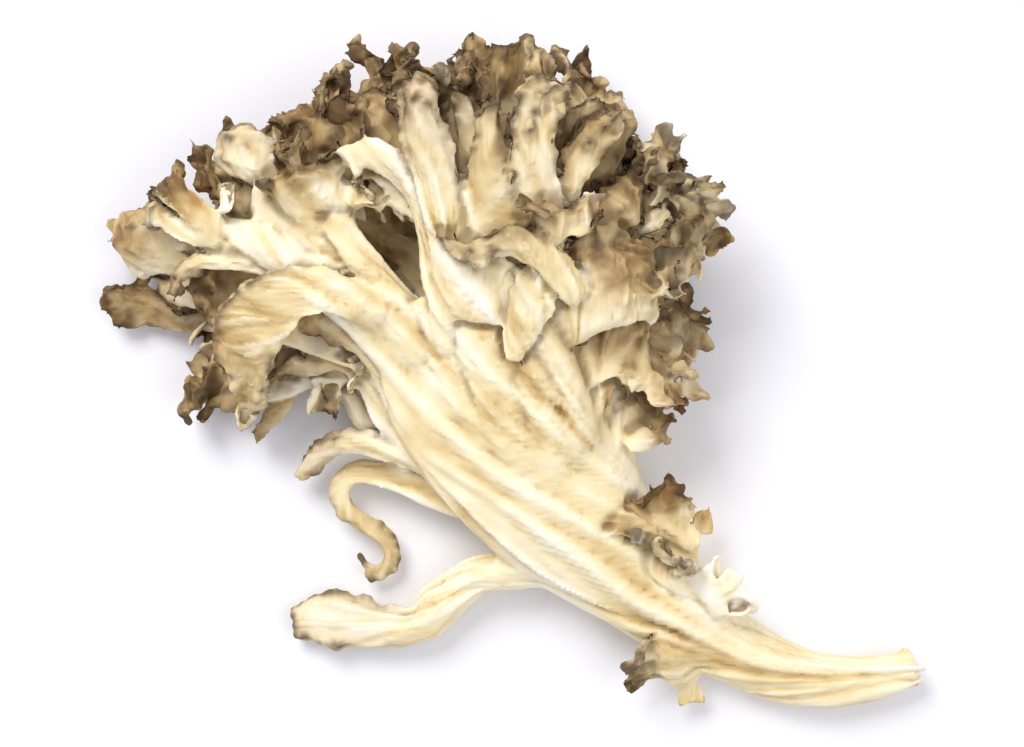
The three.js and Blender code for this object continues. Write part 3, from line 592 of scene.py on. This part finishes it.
def cut_out(name, material):
    """Makes the piece of the dried body that stands for one CAD solid."""
    squares = skin.squares[square_owner == names.index(name)]
    used = np.unique(squares)
    corner = np.zeros(len(skin.points), dtype=np.int64)
    corner[used] = np.arange(len(used))
    points, source = [skin.points[used]], [used]
    faces = corner[squares].tolist()
    count = len(used)
    for edge in edge_loops(corner[squares]):
        size = len(edge)
        below = skin.points[used[edge]] - CUT_DEPTH_MM * skin.normal[used[edge]]
        below[:, 2] = np.maximum(below[:, 2], 0.0)
        loops = rounder(np.arange(size), below)
        ring = np.arange(count, count + size)
        points.append(below)
        source.append(used[edge])
        faces += np.stack([edge, np.roll(edge, -1), np.roll(ring, -1), ring], -1).tolist()
        count += size
        for loop in loops:
            points.append(below[loop].mean(0)[None])
            source.append(used[edge[loop[:1]]])
            fan = [ring[loop], ring[np.roll(loop, -1)], np.full(len(loop), count)]
            faces += np.stack(fan, -1).tolist()
            count += 1
    mesh = bpy.data.meshes.new(name + "_skin")
    mesh.from_pydata((np.vstack(points) * MM).tolist(), [], faces)
    source = np.concatenate(source)
    for label, values in surface.items():
        shade = values[source].astype(np.float32)
        mesh.attributes.new(label, "FLOAT", "POINT").data.foreach_set("value", shade)
    mesh.polygons.foreach_set("use_smooth", np.ones(len(mesh.polygons), dtype=bool))
    normals = np.zeros((count, 3))
    normals[: len(used)] = skin.normal[used]
    mesh.normals_split_custom_set_from_vertices(normals.tolist())
    mesh.materials.append(material)
    piece = bpy.data.objects.new(name + "_dried", mesh)
    bpy.context.scene.collection.objects.link(piece)
    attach(piece, "root")
    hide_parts(name)


# ---------------------------------------------------------------------------------------------------
# THE STEM, with its side stub, the raised slabs on its face and the two fleshy boughs. Solid cream
# flesh, torn from the block at the butt and dried hard.


def linear(colour):
    """An sRGB hex colour as the linear one that a shader takes."""
    parts = [int(colour[i : i + 2], 16) / 255 for i in (1, 3, 5)]
    return (*[c / 12.92 if c <= 0.04045 else ((c + 0.055) / 1.055) ** 2.4 for c in parts], 1.0)


def add(tree, kind, settings, links=(), out=0):
    """Adds a shader node with its settings and links, and gives back one of its outputs."""
    node = tree.nodes.new("ShaderNode" + kind)
    for key, value in settings.items():
        if key == "stops":
            while len(node.color_ramp.elements) < len(value):
                node.color_ramp.elements.new(1.0)
            for element, (place, colour) in zip(node.color_ramp.elements, value):
                element.position, element.color = place, linear(colour)
        elif hasattr(node, str(key)):
            setattr(node, key, value)
        else:
            node.inputs[key].default_value = value
    for socket, output in dict(links).items():
        tree.links.new(output, node.inputs[socket])
    return node.outputs[out]


def dried_fungus(name):
    """Dried maitake: fibrous cream flesh under a skin that browns towards the margins of the caps, matt
    all over. Both of the finishes are this one, so that a frond's colour runs on into its cap."""
    material = bpy.data.materials.new(name)
    material.use_nodes = True
    tree = material.node_tree
    shader = tree.nodes["Principled BSDF"]
    shader.inputs["Specular IOR Level"].default_value = 0.3
    place = add(tree, "TexCoord", {}, out="Object")
    grain = add(tree, "Attribute", {"attribute_name": "grain"}, out="Fac")
    browning = add(tree, "Attribute", {"attribute_name": "browning"}, out="Fac")
    margin = add(tree, "Attribute", {"attribute_name": "margin"}, out="Fac")
    crevice = add(tree, "Attribute", {"attribute_name": "crevice"}, out="Fac")

    # Cream flesh in patches some 9 mm wide, streaked along its fibres.
    patches = add(tree, "TexNoise", {"Scale": 1 / (9.0 * MM), "Detail": 3.0}, {"Vector": place})
    patches = add(tree, "Math", {"operation": "MULTIPLY_ADD", 1: 0.8, 2: 0.15}, {0: patches})
    patches = add(tree, "Math", {"operation": "ADD"}, {0: patches, 1: grain})
    creams = (
        (0.0, "#B48C54"), (0.25, "#D9BC84"), (0.48, "#F1DDAD"), (0.72, "#FBEFCF"), (1.0, "#FFF8E8"),
    )
    flesh = add(tree, "ValToRGB", {"stops": creams}, {"Fac": patches})

    # Brown cap skin, mottled every 4 mm.
    mottle = add(tree, "TexNoise", {"Scale": 1 / (4.0 * MM), "Detail": 3.0}, {"Vector": place})
    mottle = add(tree, "Math", {"operation": "MULTIPLY_ADD", 1: 1.1, 2: -0.05}, {0: mottle})
    mottle = add(tree, "Math", {"operation": "ADD"}, {0: mottle, 1: grain})
    browns = (
        (0.0, "#46301B"), (0.26, "#82643F"), (0.5, "#AF9162"), (0.78, "#D0B583"), (1.0, "#E4CE9D"),
    )
    skin_colour = add(tree, "ValToRGB", {"stops": browns}, {"Fac": mottle})

    # The brown, with the painted shade of closed-in flesh, comes and goes over 3 mm, and follows the grain.
    blotches = add(tree, "TexNoise", {"Scale": 1 / (3.0 * MM), "Detail": 3.0}, {"Vector": place})
    blotches = add(tree, "Math", {"operation": "MULTIPLY_ADD", 1: 0.6}, {0: grain, 2: blotches})
    rise = {"interpolation_type": "SMOOTHSTEP", "From Min": 0.2, "From Max": 0.6, "To Min": 0.5}
    blotches = add(tree, "MapRange", rise, {"Value": blotches})
    blotches = add(tree, "Math", {"operation": "MULTIPLY"}, {0: blotches, 1: browning})
    colour = add(tree, "Mix", {"data_type": "RGBA"}, {0: blotches, 6: flesh, 7: skin_colour}, out=2)

    # The margins dried darkest, in stretches of 2 mm, and the crevices and closed-in places are painted
    # dark as shade.
    scorch = add(tree, "TexNoise", {"Scale": 1 / (2.2 * MM), "Detail": 3.0}, {"Vector": place})
    rise = {"interpolation_type": "SMOOTHSTEP", "From Min": 0.3, "From Max": 0.55, "To Max": 0.85}
    scorch = add(tree, "MapRange", rise, {"Value": scorch})
    scorch = add(tree, "Math", {"operation": "MULTIPLY"}, {0: scorch, 1: margin})
    colour = add(tree, "Mix", {"data_type": "RGBA", 7: linear("#46301E")}, {0: scorch, 6: colour}, out=2)
    # Painted shade in the hollows and closed-in places.
    colour = add(tree, "Mix", {"data_type": "RGBA", 7: linear("#553F29")}, {0: crevice, 6: colour}, out=2)
    tree.links.new(colour, shader.inputs["Base Color"])

    # A felt of fibre ends, some 0.5 mm apart, dulls the surface and roughens it a little.
    felt = add(tree, "TexNoise", {"Scale": 1 / (0.5 * MM), "Detail": 4.0}, {"Vector": place})
    rough = add(tree, "MapRange", {"To Min": 0.6, "To Max": 0.9}, {"Value": felt})
    tree.links.new(rough, shader.inputs["Roughness"])
    bump = add(tree, "Bump", {"Strength": 0.25, "Distance": 0.2 * MM}, {"Height": felt})
    tree.links.new(bump, shader.inputs["Normal"])
    return material


dried_pale_flesh = dried_fungus("dried_pale_flesh")
for name in CRUMPLE_STEM:
    cut_out(name, dried_pale_flesh)

# ---------------------------------------------------------------------------------------------------
# THE TENDRILS. Two stringy shoots left on the stem's side where fronds were torn off: one straight, one
# that ends in a curl. They are the stem's own flesh, and brown only at their tips.

for name in CRUMPLE_TENDRILS:
    cut_out(name, dried_pale_flesh)

# ---------------------------------------------------------------------------------------------------
# TORN FLESH. Flaps, scales and strips that tore away with the stem and dried where they hung, with
# ragged edges.

for name in CRUMPLE_TORN:
    cut_out(name, dried_pale_flesh)

# ---------------------------------------------------------------------------------------------------
# THE PALE FRONDS. Straps of cream flesh, 1 to 2 mm thick, that carry the caps. They fan out of the
# stem's face, turn tan towards their tips, and the outer ones fold back on themselves.

for name in CRUMPLE_FRONDS:
    cut_out(name, dried_pale_flesh)

# ---------------------------------------------------------------------------------------------------
# THE SMOOTHER CAPS. Hoods, cups and fans at the left, in the middle and at the right: sheets of flesh
# with the brown skin of the cap's upper side, dried into shallow curls.

dried_cap_skin = dried_fungus("dried_cap_skin")
for name in CRUMPLE_SMOOTH_CAPS:
    cut_out(name, dried_cap_skin)

# ---------------------------------------------------------------------------------------------------
# THE CRUMPLED CAPS. Young caps crowded against each other at the upper left and the right, which dried
# into tight, frilled curls.

for name in CRUMPLE_WILD_CAPS:
    cut_out(name, dried_cap_skin)

# ---------------------------------------------------------------------------------------------------
# THE LOW CAPS. The undermost layer of the fan, spread on the table, which holds the rest up.

for name in CRUMPLE_LOW_CAPS:
    cut_out(name, dried_cap_skin)

# ---------------------------------------------------------------------------------------------------
# THE TABLE. A plain white painted board, matt, well lit.

TABLE_HALF = 1.0

table_mesh = bpy.data.meshes.new("table")
ways = [(-1, -1), (1, -1), (1, 1), (-1, 1)]
table_mesh.from_pydata([(TABLE_HALF * x, TABLE_HALF * y, 0) for x, y in ways], [], [(0, 1, 2, 3)])
white_paint = bpy.data.materials.new("white_paint")
white_paint.use_nodes = True
paint = white_paint.node_tree.nodes["Principled BSDF"].inputs
paint["Base Color"].default_value = linear("#F4F3F6")
paint["Roughness"].default_value = 0.9
table_mesh.materials.append(white_paint)
table = bpy.data.objects.new("table", table_mesh)
bpy.context.scene.collection.objects.link(table)

# ---------------------------------------------------------------------------------------------------
# LIGHT AND CAMERA. A soft lamp at the upper left, a weaker one opposite and a pale room round them; the
# camera looks straight down.

LAMPS = (  # name, place, watts, size
    ("window_lamp", (-0.22, 0.32, 0.42), 2.35, 0.3),
    ("fill_lamp", (0.35, -0.1, 0.45), 0.95, 0.5),
)
CAMERA_HEIGHT = 0.285

for name, place, watts, size in LAMPS:
    lamp = bpy.data.lights.new(name, "AREA")
    lamp.energy, lamp.size = watts, size
    holder = bpy.data.objects.new(name, lamp)
    holder.location = place
    holder.rotation_euler = (-Vector(place)).to_track_quat("-Z", "Y").to_euler()
    bpy.context.scene.collection.objects.link(holder)

room = bpy.data.worlds.new("pale_room")
room.use_nodes = True
air = room.node_tree.nodes["Background"].inputs
air["Color"].default_value = (0.85, 0.87, 0.95, 1)
air["Strength"].default_value = 0.66
bpy.context.scene.world = room
bpy.context.scene.view_settings.view_transform = "Standard"

lens = bpy.data.cameras.new("camera")
lens.lens = 85
camera = bpy.data.objects.new("camera", lens)
camera.location = (0, 0, CAMERA_HEIGHT)
bpy.context.scene.collection.objects.link(camera)
bpy.context.scene.camera = camera
